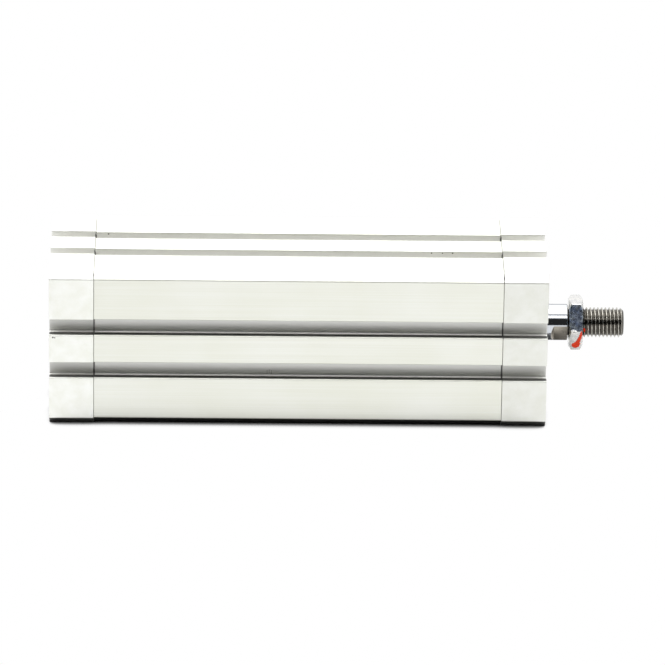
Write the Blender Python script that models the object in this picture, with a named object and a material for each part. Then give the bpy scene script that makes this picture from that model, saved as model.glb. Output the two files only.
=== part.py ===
"""Compact double-acting air cylinder: a slotted square barrel between two caps, with a piston on a round rod.

All sizes are in metres. The rear cap's mounting face lies on the plane X = 0, with its centre at the origin.
The rod leaves through the front cap towards +X. Z is up and the ports open towards +Y.
The rod is modelled fully retracted.
"""

import bmesh
import bpy
from math import cos, pi, radians, sin, tan
from mathutils import Matrix, Vector

# What the cylinder is ordered by
bore_diameter = 0.040
stroke = 0.110
rod_diameter = 0.012

# Gap left between two pieces that touch or nearly touch
fit = 0.0003

# Barrel profile: two T-slots on each of its four sides
slot_depth = 0.0050
slot_floor_wall = 0.0016
slot_spacing = 0.0150
slot_opening = 0.0054
slot_lip = 0.0019
slot_undercut = 0.0009
slot_edge_round = 0.0005
barrel_corner_chamfer = 0.0024
screw_channel_inset = 0.0066

# Caps
cap_length = 0.0146
cap_proud = 0.00035
cap_corner_chamfer = 0.0026
cap_edge_chamfer = 0.0004
cap_slot_opening = 0.0053
register_length = 0.0030

# Both edges of each long corner chamfer, on the barrel and on the caps, are eased to this radius
corner_edge_radius = 0.0008

# Static seal ring round each cap's register
ring_section = 0.0016

# Ports and the passages behind them
port_diameter = 0.0088
passage_diameter = 0.0030
passage_step = 0.00006
passage_web = 0.00075

# Cap screws, with a mounting thread in each head
screw_diameter = 0.0050
screw_head_diameter = 0.0094
screw_head_length = 0.0080
screw_engagement = 0.0140
mounting_thread_diameter = 0.0052
mounting_thread_depth = 0.0052
screw_socket_across_flats = 0.0040
screw_socket_depth = 0.0016
screw_edge_chamfer = 0.0004

# Rod bearing and rod seal in the front cap
bush_wall = 0.0012
bush_retaining_lip = 0.0015
rod_seal_band = 0.0034
rod_seal_groove_width = 0.0043
rod_seal_mouth_depth = 0.0009
rod_seal_mouth_step = 0.0010
rod_hole_clearance = 0.0006

# End-of-stroke bumper rings
bumper_proud = 0.0012
bumper_seated = 0.0015
bumper_web = 0.0024

# Piston
piston_gap = 0.0006
piston_land = 0.0009
piston_web = 0.0010
piston_seal_width = 0.0024
piston_seal_band = 0.0032
piston_seal_notch = 0.0011
guide_width = 0.0040
guide_thickness = 0.0014
guide_split_degrees = 4.0
magnet_band = 0.0027
spigot_step = 0.0020
piston_nut_wall = 0.0025
piston_nut_length = 0.0040
piston_nut_clearance = 0.0008

# Rod end
rod_shoulder_reach = 0.0075
thread_length = 0.0185
thread_step = 0.0010
thread_chamfer = 0.0011
neck_width = 0.0015
neck_depth = 0.0007
flat_length = 0.0045
flat_depth = 0.0010
rod_nut_wall = 0.0030
rod_nut_length = 0.0046
rod_nut_gap = 0.0004
flat_turn = radians(-1.7)

# Both nuts are turned to this cone at their corners, from a round face that is a little inside the flats
nut_chamfer_angle = radians(30)
nut_face_inset = 0.00024

# How finely round pieces are divided
round_steps = 40
hidden_round_steps = 32
small_round_steps = 16
port_steps = 20
corner_edge_steps = 2
ring_sides = 6

# Sizes that follow from the ones above
bore_radius = bore_diameter / 2
rod_radius = rod_diameter / 2
barrel_half = bore_radius + slot_floor_wall + slot_depth
cap_half = barrel_half + cap_proud
screw_offset = barrel_half - screw_channel_inset
register_radius = bore_radius - fit
ring_centre_radius = register_radius - ring_section / 2
ring_groove_width = ring_section + 2 * fit
ring_groove_radius = register_radius - ring_section - fit
bumper_pocket_outer = ring_groove_radius - passage_diameter - 2 * passage_web
bumper_outer = bumper_pocket_outer - fit
bumper_inner = rod_radius + rod_hole_clearance + bumper_web
passage_radius = ring_groove_radius - passage_web - passage_diameter / 2
seal_groove_width = piston_seal_width + 2 * fit
guide_groove_width = guide_width + 2 * fit
piston_length = 2 * (piston_land + seal_groove_width + piston_web) + guide_groove_width
barrel_length = stroke + piston_length + 2 * (register_length + bumper_proud + fit)

# Places along the axis
barrel_rear = cap_length
barrel_front = barrel_rear + barrel_length
body_length = barrel_front + cap_length
piston_rear = barrel_rear + register_length + bumper_proud + fit
shoulder = body_length + rod_shoulder_reach

# Cutters run this far past the surface that they leave through
overrun = 0.002

# The caps take many cuts close together. At some sizes the exact solver drops a face there, and
# this one doesn't.
CAP_SOLVER = "MANIFOLD"

FINISHES = {
    "anodised": ((0.80, 0.81, 0.79), 0.6, 0.45),
    "blasted": ((0.78, 0.79, 0.77), 0.5, 0.60),
    "machined": ((0.72, 0.73, 0.74), 0.9, 0.30),
    "chrome": ((0.62, 0.62, 0.63), 1.0, 0.08),
    "zinc": ((0.55, 0.57, 0.60), 0.9, 0.30),
    "bronze": ((0.45, 0.30, 0.14), 0.8, 0.45),
    "rubber": ((0.02, 0.02, 0.02), 0.0, 0.60),
    "polyurethane": ((0.05, 0.16, 0.10), 0.0, 0.45),
    "acetal": ((0.75, 0.74, 0.70), 0.0, 0.50),
    "magnet": ((0.06, 0.06, 0.06), 0.1, 0.70),
}


def clear_scene():
    for obj in list(bpy.data.objects):
        bpy.data.objects.remove(obj)


def finish_material(name, finish):
    colour, metallic, roughness = FINISHES[finish]
    material = bpy.data.materials.new(name)
    material.use_nodes = True
    shader = material.node_tree.nodes["Principled BSDF"]
    shader.inputs["Base Color"].default_value = (*colour, 1)
    shader.inputs["Metallic"].default_value = metallic
    shader.inputs["Roughness"].default_value = roughness
    material.diffuse_color = (*colour, 1)
    return material


def mesh_from(bm, name):
    """The bmesh as a mesh with its faces outward and its round surfaces smooth."""
    bmesh.ops.recalc_face_normals(bm, faces=bm.faces)
    mesh = bpy.data.meshes.new(name)
    bm.to_mesh(mesh)
    bm.free()
    mesh.shade_smooth()
    mesh.set_sharp_from_angle(angle=radians(35))
    return mesh


def add_piece(name, mesh, finish, location=(0, 0, 0), parent=None):
    obj = bpy.data.objects.new(name, mesh)
    obj.location = location
    obj.parent = parent
    if mesh.users > 1:
        obj.data = mesh.copy()
    obj.data.materials.clear()
    obj.data.materials.append(finish_material(name, finish))
    bpy.context.scene.collection.objects.link(obj)
    return obj


def add_cutter(name, mesh, location=(0, 0, 0)):
    obj = bpy.data.objects.new(name, mesh)
    obj.location = location
    obj.hide_render = True
    obj.display_type = "WIRE"
    bpy.context.scene.collection.objects.link(obj)
    return obj


def combine(target, tool, operation="DIFFERENCE", solver="EXACT"):
    modifier = target.modifiers.new(tool.name, "BOOLEAN")
    modifier.operation = operation
    modifier.solver = solver
    modifier.object = tool


def turned(name, profile, steps=round_steps, axis=(1, 0, 0), centre=(0, 0, 0)):
    """A closed outline of (distance along the axis, radius) pairs, turned round the axis at the centre."""
    axis = Vector(axis)
    across = Vector((0, 0, 1)) if abs(axis.z) < 0.5 else Vector((1, 0, 0))
    bm = bmesh.new()
    ring = [bm.verts.new(Vector(centre) + axis * x + across * r) for x, r in profile]
    for start, end in zip(ring, ring[1:] + ring[:1]):
        bm.edges.new((start, end))
    bmesh.ops.spin(
        bm, geom=bm.verts[:] + bm.edges[:], cent=centre, axis=axis, angle=2 * pi, steps=steps, use_merge=True
    )
    bmesh.ops.remove_doubles(bm, verts=bm.verts, dist=1e-6)
    bmesh.ops.dissolve_degenerate(bm, edges=bm.edges, dist=1e-7)
    lone = [edge for edge in bm.edges if not edge.link_faces]
    bmesh.ops.delete(bm, geom=lone, context="EDGES")
    return mesh_from(bm, name)


def extruded(name, sections, holes=()):
    """Outlines of equal length, each an (x, [(y, z), ...]) pair, joined along X, with through holes."""
    bm = bmesh.new()
    chains = [[[bm.verts.new((x, y, z)) for y, z in outline] for x, outline in sections]]
    for hole in holes:
        chains.append([[bm.verts.new((x, y, z)) for y, z in hole] for x in (sections[0][0], sections[-1][0])])
    for chain in chains:
        for near, far in zip(chain, chain[1:]):
            for i in range(len(near)):
                bm.faces.new((near[i - 1], near[i], far[i], far[i - 1]))
    for end in (0, -1):
        border = []
        for chain in chains:
            loop = chain[end]
            border += [bm.edges.get((loop[i - 1], loop[i])) for i in range(len(loop))]
        bmesh.ops.triangle_fill(bm, edges=border, use_beauty=True, use_dissolve=False)
    return mesh_from(bm, name)


def circle(radius, steps, centre=(0, 0)):
    return [
        (centre[0] + radius * cos(2 * pi * i / steps), centre[1] + radius * sin(2 * pi * i / steps))
        for i in range(steps)
    ]


def hexagon(across_flats, turn=0.0):
    corner = across_flats / 2 / cos(pi / 6)
    return [(corner * cos(turn + pi / 3 * i), corner * sin(turn + pi / 3 * i)) for i in range(6)]


def grooved_square(half, chamfer, notches_of_side):
    """A chamfered square outline. Each side has its own list of notches, as (along, depth) points."""
    radius = corner_edge_radius
    flat_end = half - chamfer - radius * tan(pi / 8)
    outline = []
    for side, notches in enumerate(notches_of_side):
        turn = Matrix.Rotation(side * pi / 2, 2)
        run = [(along, half - depth) for notch in notches for along, depth in notch]
        eased = []
        for i in range(corner_edge_steps + 1):
            angle = pi / 4 * i / corner_edge_steps
            eased.append((flat_end + radius * sin(angle), half - radius + radius * cos(angle)))
        run += [(-along, out) for along, out in eased]
        run += [(-out, along) for along, out in reversed(eased)]
        outline += [tuple(turn @ Vector(point)) for point in run]
    return outline


def both_halves(centre, half):
    return [(centre + a, d) for a, d in half] + [(centre - a, d) for a, d in reversed(half)]


def t_slot(centre):
    """Points of one of the barrel's T-slots, from +Y to -Y along a side that faces up."""
    opening = slot_opening / 2
    inner = opening + slot_undercut
    edge = slot_edge_round
    half = [(opening + edge, 0), (opening, edge), (opening, slot_lip), (inner, slot_lip), (inner, slot_depth)]
    return both_halves(centre, half)


def cap_slot(centre, grow):
    """Points of a cap's T-slot, in line with the barrel's. grow opens it out where the cap's end is chamfered."""
    opening = cap_slot_opening / 2 + grow
    inner = opening + slot_undercut
    lip = slot_lip + cap_proud - 2 * grow
    return both_halves(centre, [(opening, 0), (opening, lip), (inner, lip), (inner, slot_depth + cap_proud)])


def barrel_piece():
    centres = (slot_spacing / 2, -slot_spacing / 2)
    side = [t_slot(centre) for centre in centres]
    outline = grooved_square(barrel_half, barrel_corner_chamfer, [side] * 4)
    channel = screw_diameter / 2 + fit
    holes = [circle(bore_radius, round_steps)]
    for y in (-1, 1):
        for z in (-1, 1):
            holes.append(circle(channel, small_round_steps, (y * screw_offset, z * screw_offset)))
    ends = (barrel_rear + fit / 2, barrel_front - fit / 2)
    mesh = extruded("barrel", [(x, outline) for x in ends], holes)
    return add_piece("barrel", mesh, "anodised")


def cap_body(name):
    """A cap from its mounting face at X = 0 to the barrel side, with no slots on the port side."""
    centres = (slot_spacing / 2, -slot_spacing / 2)
    sections = []
    for x, inset in ((0, cap_edge_chamfer), (cap_edge_chamfer, 0), (cap_length - fit / 2, 0)):
        side = [cap_slot(centre, inset) for centre in centres]
        sides = [side, side, side, []]
        sections.append((x, grooved_square(cap_half - inset, cap_corner_chamfer, sides)))
    return add_piece(name, extruded(name, sections), "blasted")


def register_mesh(name):
    """The round spigot that enters the barrel, grooved for its seal ring, with a pocket for the bumper."""
    face = cap_length + register_length
    groove_start = cap_length + fit / 2
    groove_end = groove_start + ring_groove_width
    profile = [(cap_length - overrun, 0), (cap_length - overrun, ring_groove_radius)]
    profile += [(groove_end, ring_groove_radius), (groove_end, register_radius)]
    profile += [(face, register_radius), (face, 0)]
    return turned(name, profile, hidden_round_steps)


def screw_hole_mesh(name):
    """Counterbored holes for the four cap screws."""
    bm = bmesh.new()
    seat = screw_head_length + 2 * fit
    head = screw_head_diameter / 2 + fit
    shank = screw_diameter / 2 + fit
    profile = [(-overrun, 0), (-overrun, head), (seat, head), (seat, shank)]
    profile += [(cap_length + overrun, shank), (cap_length + overrun, 0)]
    for y in (-1, 1):
        for z in (-1, 1):
            one = turned(name, profile, small_round_steps, centre=(0, y * screw_offset, z * screw_offset))
            bm.from_mesh(one)
            bpy.data.meshes.remove(one)
    return mesh_from(bm, name)


def port_mesh(name):
    """The port's thread bore and the narrow drilling below it, turned round Y."""
    drill = passage_diameter / 2
    bottom = passage_radius - drill
    profile = [(bottom, 0), (bottom, drill), (ring_groove_radius, drill)]
    profile += [(ring_groove_radius, port_diameter / 2)]
    profile += [(cap_half + overrun, port_diameter / 2), (cap_half + overrun, 0)]
    return turned(name, profile, port_steps, axis=(0, 1, 0), centre=(cap_length / 2, 0, 0))


def passage_mesh(name):
    """The drilling from the register's face to the port, a step narrower than the one that it runs into."""
    drill = (passage_diameter - passage_step) / 2
    profile = [(cap_length / 2, 0), (cap_length / 2, drill)]
    profile += [(cap_length + register_length + overrun, drill), (cap_length + register_length + overrun, 0)]
    return turned(name, profile, small_round_steps, centre=(0, passage_radius, 0))


def bumper_pocket_mesh(name):
    face = cap_length + register_length
    floor = face - bumper_seated - fit
    inner, outer = bumper_inner - fit, bumper_outer + fit
    profile = [(floor, inner), (floor, outer), (face + overrun, outer), (face + overrun, inner)]
    return turned(name, profile, hidden_round_steps)


def rod_passage_mesh(name):
    """What the front cap is bored out to: the rod seal's groove, the bush's seat and the hole for the rod."""
    face = cap_length + register_length
    mouth = rod_radius + rod_seal_band + 2 * fit - rod_seal_mouth_step
    groove = rod_radius + rod_seal_band + 2 * fit
    seat = rod_radius + bush_wall + 2 * fit
    hole = rod_radius + rod_hole_clearance
    groove_end = rod_seal_mouth_depth + rod_seal_groove_width
    seat_end = face - bush_retaining_lip
    profile = [(-overrun, 0), (-overrun, mouth)]
    profile += [(rod_seal_mouth_depth, mouth), (rod_seal_mouth_depth, groove)]
    profile += [(groove_end, groove), (groove_end, seat), (seat_end, seat), (seat_end, hole)]
    profile += [(face + overrun, hole), (face + overrun, 0)]
    return turned(name, profile)


def cap_piece(name, front):
    """A cap in its own frame, mounting face at X = 0. The front cap is then turned end for end."""
    cap = cap_body(name)
    meshes = [("register", register_mesh, "UNION"), ("bumper_pocket", bumper_pocket_mesh, "DIFFERENCE")]
    if front:
        meshes.append(("rod_passage", rod_passage_mesh, "DIFFERENCE"))
    meshes.append(("port", port_mesh, "DIFFERENCE"))
    meshes.append(("passage", passage_mesh, "DIFFERENCE"))
    meshes.append(("screw_holes", screw_hole_mesh, "DIFFERENCE"))
    tools = []
    for suffix, make, operation in meshes:
        tool_name = f"{name}_{suffix}"
        tools.append((add_cutter(tool_name, make(tool_name)), operation))
    for tool, operation in tools:
        tool.parent = cap
        combine(cap, tool, operation, CAP_SOLVER)
    if front:
        face_about(cap)
    return cap


def face_about(obj):
    """Turns a piece that was made for the rear end so that it serves the front end, port side kept."""
    mirror = Matrix.Diagonal((-1, 1, 1, 1))
    for piece in [obj] + list(obj.children):
        piece.data.transform(mirror)
        piece.data.flip_normals()
    obj.location.x = body_length


def screw_mesh():
    """A cap screw along X from its head at X = 0, which holds a mounting thread and a hexagon socket."""
    head = screw_head_diameter / 2
    shank = screw_diameter / 2
    thread = mounting_thread_diameter / 2
    tip = cap_length - fit + screw_engagement
    chamfer = screw_edge_chamfer
    profile = [(mounting_thread_depth, 0), (mounting_thread_depth, thread)]
    profile += [(chamfer, thread), (0, thread + chamfer)]
    profile += [(0, head - chamfer), (chamfer, head), (screw_head_length, head), (screw_head_length, shank)]
    profile += [(tip - chamfer, shank), (tip, shank - chamfer), (tip, 0)]
    return turned("cap_screw", profile, small_round_steps)


def cap_screws(end, front):
    """Four screws in one cap, named by the corner that they sit in, seen with Y to the right and Z up."""
    for y, z, corner in ((-1, -1, "a"), (1, -1, "b"), (1, 1, "c"), (-1, 1, "d")):
        name = f"{end}_screw_{corner}"
        screw = add_piece(name, screw_mesh(), "zinc", (0, y * screw_offset, z * screw_offset))
        start = mounting_thread_depth - overrun
        stop = mounting_thread_depth + screw_socket_depth
        socket = [(x, hexagon(screw_socket_across_flats)) for x in (start, stop)]
        tool = add_cutter(name + "_socket", extruded(name + "_socket", socket))
        tool.parent = screw
        combine(screw, tool)
        if front:
            face_about(screw)
            screw.location.x = body_length - fit
        else:
            screw.location.x = fit


def seal_ring(name, centre):
    """A round-section ring in a register's groove."""
    profile = circle(ring_section / 2, ring_sides, (centre, ring_centre_radius))
    return add_piece(name, turned(name, profile, hidden_round_steps), "rubber")


def bumper(name, floor, direction):
    """A rubber ring in a cap's pocket, standing proud of the register towards the piston."""
    length = bumper_seated + bumper_proud
    edge = min(length / 6, (bumper_outer - bumper_inner) / 4)
    profile = [(0, bumper_inner), (0, bumper_outer)]
    profile += [(length - edge, bumper_outer), (length, bumper_outer - edge)]
    profile += [(length, bumper_inner + edge), (length - edge, bumper_inner)]
    profile = [(floor + direction * x, r) for x, r in profile]
    return add_piece(name, turned(name, profile, hidden_round_steps), "rubber")


def rod_seal():
    """The combined seal and wiper: a lip each way on the rod, held in the front cap's groove."""
    inner = rod_radius + fit
    outer = rod_radius + rod_seal_band + fit
    mouth = outer - rod_seal_mouth_step
    start = fit
    step = rod_seal_mouth_depth + fit
    end = rod_seal_mouth_depth + rod_seal_groove_width - fit
    slack = (mouth - inner) / 3
    profile = [(start, inner + slack), (start, mouth), (step, mouth), (step, outer), (end, outer)]
    profile += [(end, outer - slack), (end - 2 * slack, inner + 1.4 * slack), (end, inner + slack)]
    profile += [(end, inner), (end - slack, inner), ((start + end) / 2, inner + slack / 2)]
    profile += [(start + slack / 2, inner)]
    profile = [(body_length - x, r) for x, r in profile]
    return add_piece("rod_seal", turned("rod_seal", profile, hidden_round_steps), "polyurethane")


def bearing_bush():
    start = rod_seal_mouth_depth + rod_seal_groove_width + fit
    end = cap_length + register_length - bush_retaining_lip - fit
    inner, outer = rod_radius + fit, rod_radius + fit + bush_wall
    edge = bush_wall / 3
    profile = [(start, inner), (start, outer - edge), (start + edge, outer), (end, outer), (end, inner)]
    profile = [(body_length - x, r) for x, r in profile]
    return add_piece("bearing_bush", turned("bearing_bush", profile, hidden_round_steps), "bronze")


def piston_half(name, nut_recess, parent):
    """Half of the piston, from its outer face at X = 0 to the middle of the guide ring's groove."""
    rim = bore_radius - piston_gap
    seal_floor = bore_radius - 2 * fit - piston_seal_band
    guide_floor = bore_radius - 3 * fit - guide_thickness - magnet_band
    hole = rod_radius - spigot_step + fit
    half = piston_length / 2 - fit / 2
    seal_start = piston_land
    seal_end = seal_start + seal_groove_width
    guide_start = seal_end + piston_web
    profile = [(0, rim), (seal_start, rim), (seal_start, seal_floor), (seal_end, seal_floor), (seal_end, rim)]
    profile += [(guide_start, rim), (guide_start, guide_floor), (half, guide_floor), (half, hole)]
    if nut_recess:
        recess = piston_nut_length + 2 * fit
        wall = (rod_radius - spigot_step + piston_nut_wall) / cos(pi / 6) + piston_nut_clearance
        profile += [(recess, hole), (recess, wall), (0, wall)]
    else:
        profile += [(0, hole)]
        profile = [(piston_length - x, r) for x, r in profile]
    return add_piece(name, turned(name, profile, hidden_round_steps), "machined", parent=parent)


def piston_seal(name, groove, direction, parent):
    """A U-shaped lip seal whose notch faces the pressure on its side of the piston."""
    outer = bore_radius - fit
    inner = outer - piston_seal_band
    width = piston_seal_width
    middle = (outer + inner) / 2
    notch = piston_seal_notch
    lip = piston_seal_band / 4
    profile = [(0, inner), (0, middle - lip), (notch, middle), (0, middle + lip), (0, outer)]
    profile += [(width, outer - lip / 2), (width, inner)]
    profile = [(groove + direction * x, r) for x, r in profile]
    return add_piece(name, turned(name, profile, hidden_round_steps), "polyurethane", parent=parent)


def guide_ring(start, parent):
    """The split bearing ring round the magnet."""
    outer = bore_radius - fit
    inner = outer - guide_thickness
    gap = radians(guide_split_degrees)
    steps = hidden_round_steps
    angles = [gap / 2 + (2 * pi - gap) * i / steps for i in range(steps + 1)]
    arc = [(outer * cos(a), outer * sin(a)) for a in angles]
    arc += [(inner * cos(a), inner * sin(a)) for a in reversed(angles)]
    mesh = extruded("guide_ring", [(start, arc), (start + guide_width, arc)])
    return add_piece("guide_ring", mesh, "acetal", parent=parent)


def magnet_ring(start, parent):
    outer = bore_radius - 2 * fit - guide_thickness
    inner = outer - magnet_band
    end = start + guide_width
    profile = [(start, inner), (start, outer), (end, outer), (end, inner)]
    mesh = turned("magnet_ring", profile, hidden_round_steps)
    return add_piece("magnet_ring", mesh, "magnet", parent=parent)


def hex_nut(name, across_flats, length, hole, turn, steps, location, parent):
    """A nut along X from its rear face, with its corners chamfered on both faces."""
    sections = [(x, hexagon(across_flats, turn)) for x in (0, length)]
    nut = add_piece(name, extruded(name, sections), "zinc", location, parent)
    face = across_flats / 2 - nut_face_inset
    far = across_flats / 2 / cos(pi / 6) + 2 * fit
    slope = (far - face) * tan(nut_chamfer_angle)
    profile = [(0, hole), (0, face), (slope, far), (length - slope, far), (length, face), (length, hole)]
    blank = add_cutter(name + "_blank", turned(name + "_blank", profile, steps))
    blank.parent = nut
    combine(nut, blank, "INTERSECT")
    return nut


def piston_rod(parent):
    """The rod from the piston's rear face at X = 0: spigot, bearing length, wrench flats, neck and thread."""
    spigot = rod_radius - spigot_step
    thread = rod_radius - thread_step
    neck = thread - neck_depth
    chamfer = thread_chamfer
    seat = piston_length + fit
    end = shoulder - piston_rear
    tip = end + thread_length
    edge = fit
    profile = [(fit, 0), (fit, spigot - edge), (2 * fit, spigot), (seat, spigot), (seat, rod_radius)]
    profile += [(end - edge, rod_radius), (end, rod_radius - edge), (end, neck), (end + neck_width, neck)]
    profile += [(end + neck_width + neck_depth, thread), (tip - chamfer, thread)]
    profile += [(tip, thread - chamfer), (tip, 0)]
    rod = add_piece("piston_rod", turned("piston_rod", profile), "chrome", parent=parent)
    depth = rod_radius - flat_depth
    far = rod_radius + overrun
    for number, turn in enumerate((flat_turn + pi / 2 + pi / 6, flat_turn + 3 * pi / 2 + pi / 6)):
        bm = bmesh.new()
        start = end - flat_length
        outline = [(start, depth), (start - (far - depth), far), (end + fit, far), (end + fit, depth)]
        corners = [[bm.verts.new((x, side * far, r)) for x, r in outline] for side in (-1, 1)]
        bm.faces.new(corners[0])
        bm.faces.new(corners[1])
        for i in range(4):
            j = (i + 1) % 4
            bm.faces.new((corners[0][i], corners[0][j], corners[1][j], corners[1][i]))
        bm.transform(Matrix.Rotation(turn, 4, "X"))
        name = f"rod_flat_{number}"
        tool = add_cutter(name, mesh_from(bm, name))
        tool.parent = rod
        combine(rod, tool)
    return rod


def add_empty(name, location, parent=None):
    obj = bpy.data.objects.new(name, None)
    obj.location = location
    obj.parent = parent
    obj.empty_display_size = 0.01
    bpy.context.scene.collection.objects.link(obj)
    return obj


def build():
    clear_scene()

    barrel_piece()
    cap_piece("rear_cap", front=False)
    cap_piece("front_cap", front=True)
    cap_screws("rear", front=False)
    cap_screws("front", front=True)

    ring_place = fit + ring_groove_width / 2
    seal_ring("rear_seal_ring", barrel_rear + ring_place)
    seal_ring("front_seal_ring", barrel_front - ring_place)
    rear_floor = barrel_rear + register_length - bumper_seated
    front_floor = barrel_front - register_length + bumper_seated
    bumper("rear_bumper", rear_floor, 1)
    bumper("front_bumper", front_floor, -1)
    rod_seal()
    bearing_bush()

    # The piston slides along the axis, and the rod with its piston can be turned about it.
    travel = add_empty("piston_travel", (piston_rear, 0, 0))
    turning = add_empty("rod_turning", (0, 0, 0), travel)

    seal_place = piston_land + fit
    piston_seal("piston_seal_rear", seal_place, 1, travel)
    piston_seal("piston_seal_front", piston_length - seal_place, -1, travel)
    guide_place = (piston_length - guide_width) / 2
    guide_ring(guide_place, travel)

    piston_half("piston_rear", True, turning)
    piston_half("piston_front", False, turning)
    magnet_ring(guide_place, turning)
    spigot_flats = 2 * (rod_radius - spigot_step + piston_nut_wall)
    spigot_hole = rod_radius - spigot_step + fit
    hidden_steps = hidden_round_steps // 2
    hex_nut(
        "piston_nut", spigot_flats, piston_nut_length, spigot_hole, 0, hidden_steps, (fit, 0, 0), turning
    )
    piston_rod(turning)
    nut_place = shoulder - piston_rear + rod_nut_gap
    nut_flats = 2 * (rod_radius - thread_step + rod_nut_wall)
    nut_hole = rod_radius - thread_step + fit
    hex_nut(
        "rod_nut", nut_flats, rod_nut_length, nut_hole, flat_turn, round_steps, (nut_place, 0, 0), turning
    )


build()
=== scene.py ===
# %% [markdown]
# # A compact air cylinder
# The object is a pneumatic cylinder that lies on a table. A slotted aluminium barrel is held between two caps,
# and a chromed rod with wrench flats, a thread and a jam nut comes out of one end.
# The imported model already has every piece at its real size. This lesson gives each piece its fine form and its
# finish, then lights it as a small product on a white table is lit.

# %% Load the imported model
from math import ceil, cos, pi, radians, sin, tan

import bmesh
import bpy
from mathutils import Matrix, Vector


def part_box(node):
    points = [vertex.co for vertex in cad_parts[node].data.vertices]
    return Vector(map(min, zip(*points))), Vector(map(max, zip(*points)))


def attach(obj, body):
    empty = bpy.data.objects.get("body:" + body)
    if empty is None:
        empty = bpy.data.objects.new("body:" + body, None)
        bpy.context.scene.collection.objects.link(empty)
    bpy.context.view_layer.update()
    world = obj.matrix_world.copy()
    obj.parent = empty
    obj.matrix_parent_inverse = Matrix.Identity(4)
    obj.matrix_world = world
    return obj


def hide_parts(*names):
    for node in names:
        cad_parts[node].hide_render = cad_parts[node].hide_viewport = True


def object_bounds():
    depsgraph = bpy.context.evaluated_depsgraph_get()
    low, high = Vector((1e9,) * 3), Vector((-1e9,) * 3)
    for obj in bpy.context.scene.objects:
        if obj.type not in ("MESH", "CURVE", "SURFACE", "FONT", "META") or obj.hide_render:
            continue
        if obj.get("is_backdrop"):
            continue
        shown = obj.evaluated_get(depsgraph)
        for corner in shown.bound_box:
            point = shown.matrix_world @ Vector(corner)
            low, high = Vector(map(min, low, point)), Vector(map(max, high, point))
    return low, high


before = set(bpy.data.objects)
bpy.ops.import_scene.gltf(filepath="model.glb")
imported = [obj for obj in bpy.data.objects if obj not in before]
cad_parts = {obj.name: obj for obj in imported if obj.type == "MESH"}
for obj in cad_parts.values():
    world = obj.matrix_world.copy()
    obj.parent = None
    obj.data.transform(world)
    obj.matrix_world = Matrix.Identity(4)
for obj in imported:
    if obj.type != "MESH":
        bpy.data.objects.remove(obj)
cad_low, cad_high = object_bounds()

MM = 0.001
print("CAD box in mm:", [round((b - a) / MM, 2) for a, b in zip(cad_low, cad_high)])

# %% [markdown]
# ## Sizes
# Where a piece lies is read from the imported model, so it can't drift away from it. What a box can't tell,
# such as the depth of a slot or the pitch of a thread, is a named size here.
# Everything is in metres, +X runs along the rod and +Z is up.

# %% Read the places of the pieces
barrel_low, barrel_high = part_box("barrel")
rod_low, rod_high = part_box("piston_rod")
nut_low, nut_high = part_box("rod_nut")
barrel_half = barrel_high.y
cap_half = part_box("rear_cap")[1].y
body_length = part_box("front_cap")[1].x
rod_radius = rod_high.y
fit = 0.3 * MM
cap_length = barrel_low.x - fit / 2
bore_radius = 20.0 * MM
print("barrel", round(2 * barrel_half / MM, 2), "mm square, caps", round(2 * cap_half / MM, 2), "mm square")

# %% [markdown]
# ## Outlines with real corners
# A sawn or moulded edge is never perfectly sharp: it has a small round that catches a line of light.
# That line tells the eye that a shape is solid metal, so each outline is drawn as corners with a radius.
# A bevel modifier could round them too, but an outline keeps the same radius along the whole extrusion.

# %% Round the corners of an outline
def rounded(corners, steps=4):
    """A closed outline through corners given as (y, z, radius)."""
    outline = []
    for i, (y, z, radius) in enumerate(corners):
        here = Vector((y, z))
        back = (Vector(corners[i - 1][:2]) - here).normalized()
        ahead = (Vector(corners[(i + 1) % len(corners)][:2]) - here).normalized()
        if radius <= 0:
            outline.append(tuple(here))
            continue
        half_angle = back.angle(ahead) / 2
        centre = here + (back + ahead).normalized() * radius / sin(half_angle)
        arm = here + back * radius / tan(half_angle) - centre
        turn = pi - 2 * half_angle
        if back.cross(ahead) > 0:
            turn = -turn
        for k in range(steps + 1):
            outline.append(tuple(centre + Matrix.Rotation(turn * k / steps, 2) @ arm))
    return outline


def circle(radius, steps, centre=(0, 0)):
    angles = [2 * pi * i / steps for i in range(steps)]
    return [(centre[0] + radius * cos(a), centre[1] + radius * sin(a)) for a in angles]


# %% [markdown]
# ## Meshes and objects
# A drawn profile becomes a solid in two ways here. An extrusion joins copies of one outline along X, and a
# turned piece spins a half profile round an axis, as a lathe does. Holes that cross these shapes are cut with
# Booleans, which are then applied, so that the sharp edges can be found on the finished mesh.

# %% Turn a bmesh into a finished mesh
def finished(bm, name, sharp=35):
    """Faces outward, round surfaces smooth, and edges sharper than the angle left crisp."""
    bmesh.ops.recalc_face_normals(bm, faces=bm.faces)
    mesh = bpy.data.meshes.new(name)
    bm.to_mesh(mesh)
    bm.free()
    mesh.shade_smooth()
    mesh.set_sharp_from_angle(angle=radians(sharp))
    return mesh


def add_object(name, mesh):
    obj = bpy.data.objects.new(name, mesh)
    bpy.context.scene.collection.objects.link(obj)
    return obj


# %% Extrude outlines along X
def extruded(name, sections, holes=()):
    """Joins outlines, each (x, points), in order. Each hole is such a list too, from one end to the other."""
    bm = bmesh.new()
    chains = []
    for chain in (sections, *holes):
        chains.append([[bm.verts.new((x, y, z)) for y, z in outline] for x, outline in chain])
    for chain in chains:
        for near, far in zip(chain, chain[1:]):
            for i in range(len(near)):
                bm.faces.new((near[i - 1], near[i], far[i], far[i - 1]))
    for end in (0, -1):
        border = []
        for chain in chains:
            loop = chain[end]
            border += [bm.edges.get((loop[i - 1], loop[i])) for i in range(len(loop))]
        bmesh.ops.triangle_fill(bm, edges=border, use_beauty=True, use_dissolve=False)
    return finished(bm, name)


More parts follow.
